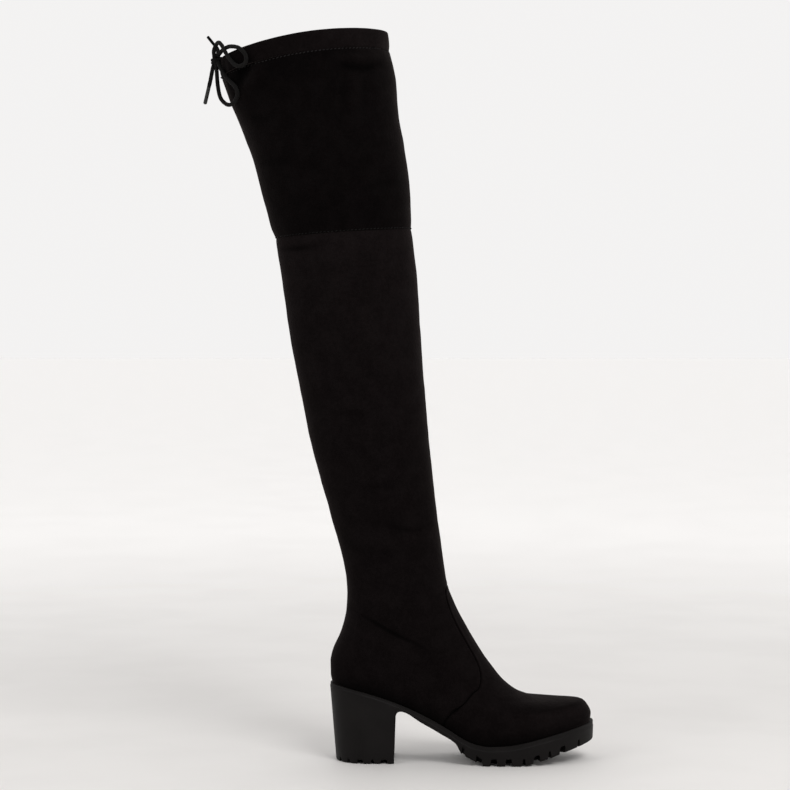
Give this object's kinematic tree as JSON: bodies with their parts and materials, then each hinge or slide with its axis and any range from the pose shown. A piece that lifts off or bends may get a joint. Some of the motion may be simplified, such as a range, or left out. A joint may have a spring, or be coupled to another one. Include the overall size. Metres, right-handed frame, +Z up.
{
  "type": "heeled boot",
  "caption": "Over-the-knee stretch suede boot on a cleated unit sole with a block heel, with an inner ankle zip and a drawstring bow at the back of the collar.",
  "frame": {"origin": "on the floor under the middle of the heel's ground face", "axes": "+X to the toe, +Y to the inner side of the leg, +Z up"},
  "size_m": [0.3673, 0.1176, 0.6832],
  "materials": {
    "suede": "black brushed faux suede, matte with a soft nap",
    "sole_rubber": "black moulded rubber, satin matte",
    "insole_cloth": "black textile sock lining",
    "zip_tape_cloth": "black woven tape with a black coil",
    "zip_metal": "dark nickel plate",
    "drawstring": "black braided round cord",
    "aglet_plastic": "dark grey smooth cord tips"
  },
  "bodies": {
    "boot": {"sole_unit": "sole_rubber", "insole": "insole_cloth", "upper": "suede", "thigh_panel": "suede", "zip_tape": "zip_tape_cloth", "zip_chain": "zip_tape_cloth", "zip_slider": "zip_metal", "bow_knot": "drawstring", "bow_side_loop": "drawstring", "bow_hanging_loop": "drawstring", "bow_upper_end": "drawstring", "bow_lower_end": "drawstring", "bow_upper_aglet": "aglet_plastic", "bow_lower_aglet": "aglet_plastic"},
    "zip_pull": {"zip_pull": "zip_metal"}
  },
  "joints": [
    {"name": "pull_swing", "type": "hinge", "parent": "boot", "child": "zip_pull", "pos_m": [0.0126, 0.04718, 0.29584], "axis": [0.9916, -0.1291, 0], "range_deg": [-6, 165]}
  ]
}
